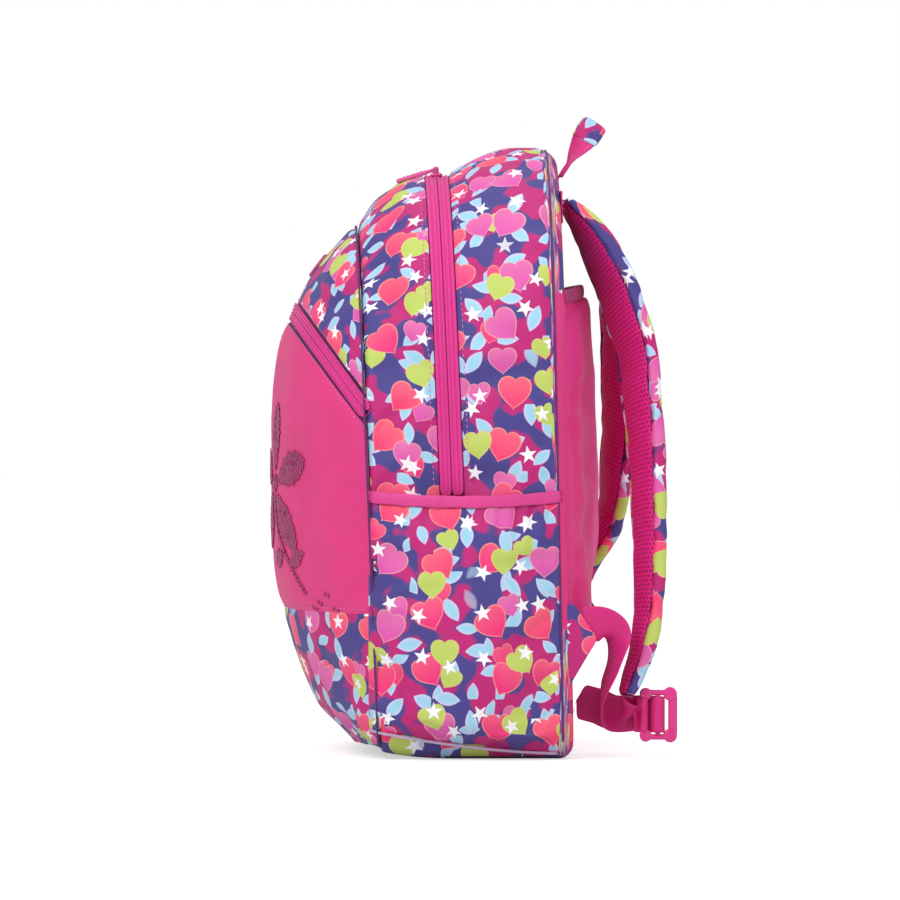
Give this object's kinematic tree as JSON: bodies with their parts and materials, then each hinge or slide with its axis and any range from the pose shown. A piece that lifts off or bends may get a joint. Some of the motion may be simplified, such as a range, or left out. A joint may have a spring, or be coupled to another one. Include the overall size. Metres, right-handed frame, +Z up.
{
  "type": "school backpack",
  "caption": "Child's school backpack with a bulging front pocket, arched zip, side pockets, trolley sleeve, haul loop and padded shoulder straps.",
  "frame": {"origin": "on the resting surface, under the middle of the main zip's foot", "axes": "+Z up, +Y towards the wearer and the shoulder straps, -Y towards the front pocket, +X the wearer's right"},
  "size_m": [0.342, 0.2895, 0.4638],
  "materials": {
    "print_fabric": "printed polyester, blotched indigo and magenta ground with small hearts, stars and leaves",
    "pink_fabric": "plain hot pink woven polyester",
    "air_mesh": "magenta spacer mesh over foam",
    "webbing": "pink polyester webbing",
    "binding": "pink elastic binding, gathered",
    "lining": "thin coated lining",
    "foam": "closed-cell foam",
    "board": "stiffener board",
    "label": "blank soft patch",
    "zip_tape": "ribbed pink zip tape",
    "zip_coil": "nylon coil",
    "slider_metal": "pink lacquered die-cast slider",
    "puller_rubber": "moulded soft puller",
    "buckle_plastic": "moulded acetal",
    "piping": "thin dark corded piping"
  },
  "bodies": {
    "root": {"anchor_wing_left": "print_fabric", "anchor_wing_right": "print_fabric", "back_board": "board", "back_foam": "foam", "back_panel": "print_fabric", "back_piping": "piping", "base_board": "board", "base_panel": "print_fabric", "divider_panel": "lining", "front_gusset": "print_fabric", "front_panel": "print_fabric", "front_piping": "piping", "label_patch": "label", "pocket_binding_left": "binding", "pocket_binding_right": "binding", "pocket_coil_lower": "zip_coil", "pocket_coil_upper": "zip_coil", "pocket_lower_panel": "print_fabric", "pocket_panel": "pink_fabric", "pocket_tape_lower": "zip_tape", "pocket_tape_upper": "zip_tape", "rear_gusset": "print_fabric", "side_panel_left": "print_fabric", "side_panel_right": "print_fabric", "side_pocket_left": "print_fabric", "side_pocket_right": "print_fabric", "sleeve_hem": "webbing", "strap_webbing_left": "webbing", "strap_webbing_right": "webbing", "strap_yoke": "webbing", "trolley_sleeve": "pink_fabric", "zip_coil_front": "zip_coil", "zip_coil_rear": "zip_coil", "zip_end_tab_left": "zip_tape", "zip_end_tab_right": "zip_tape", "zip_tape_front": "zip_tape", "zip_tape_rear": "zip_tape"},
    "haul_loop": {"haul_webbing": "webbing", "haul_grip": "print_fabric"},
    "main_slider_right": {"main_slider_right": "slider_metal"},
    "main_pull_right": {"main_pull_right": "puller_rubber"},
    "main_slider_left": {"main_slider_left": "slider_metal"},
    "main_pull_left": {"main_pull_left": "puller_rubber"},
    "pocket_slider": {"pocket_slider": "slider_metal"},
    "pocket_pull": {"pocket_pull": "puller_rubber"},
    "strap_right": {"strap_cover_right": "print_fabric", "strap_mesh_right": "air_mesh", "strap_tab_right": "webbing"},
    "strap_left": {"strap_cover_left": "print_fabric", "strap_mesh_left": "air_mesh", "strap_tab_left": "webbing"},
    "ladder_lock_right": {"ladder_lock_right": "buckle_plastic"},
    "ladder_lock_left": {"ladder_lock_left": "buckle_plastic"}
  },
  "joints": [
    {"name": "main_slider_right_travel", "type": "hinge", "parent": "root", "child": "main_slider_right", "pos_m": [0, -0.01084, 0.26978], "axis": [0, 0.9992, 0.0401], "range_deg": [0, 83]},
    {"name": "main_pull_right_flip", "type": "hinge", "parent": "main_slider_right", "child": "main_pull_right", "pos_m": [0.01135, -0.01704, 0.42424], "axis": [-0.9973, -0.0029, 0.0732], "range_deg": [0, 165]},
    {"name": "main_slider_left_travel", "type": "hinge", "parent": "root", "child": "main_slider_left", "pos_m": [0, -0.01084, 0.26978], "axis": [0, -0.9992, -0.0401], "range_deg": [0, 83]},
    {"name": "main_pull_left_flip", "type": "hinge", "parent": "main_slider_left", "child": "main_pull_left", "pos_m": [-0.01135, -0.01704, 0.42424], "axis": [-0.9973, 0.0029, -0.0732], "range_deg": [0, 165]},
    {"name": "pocket_slider_travel", "type": "hinge", "parent": "root", "child": "pocket_slider", "pos_m": [0, -0.02159, 0.18409], "axis": [0, 0.8059, 0.592], "range_deg": [0, 108]},
    {"name": "pocket_pull_flip", "type": "hinge", "parent": "pocket_slider", "child": "pocket_pull", "pos_m": [-0.14037, -0.08413, 0.2647], "axis": [-0.5878, 0.4789, -0.652], "range_deg": [0, 165]},
    {"name": "haul_loop_swing", "type": "hinge", "parent": "root", "child": "haul_loop", "pos_m": [0, 0.07354, 0.418], "axis": [1, 0, 0], "range_deg": [-60, 40]},
    {"name": "strap_right_swing", "type": "hinge", "parent": "root", "child": "strap_right", "pos_m": [0, 0.07854, 0.399], "axis": [1, 0, 0], "range_deg": [-5, 28], "stiffness_Nm_per_rad": 8, "deforming": ["strap_webbing_right"]},
    {"name": "strap_left_swing", "type": "hinge", "parent": "root", "child": "strap_left", "pos_m": [0, 0.07854, 0.399], "axis": [1, 0, 0], "range_deg": [0, 28], "stiffness_Nm_per_rad": 8, "deforming": ["strap_webbing_left"]},
    {"name": "ladder_lock_right_tilt", "type": "hinge", "parent": "strap_right", "child": "ladder_lock_right", "pos_m": [0.112, 0.1305, 0.031], "axis": [0, 0, 1], "range_deg": [-25, 25]},
    {"name": "ladder_lock_left_tilt", "type": "hinge", "parent": "strap_left", "child": "ladder_lock_left", "pos_m": [-0.115, 0.088, 0.099], "axis": [1, 0, 0], "range_deg": [-12, 35]}
  ]
}
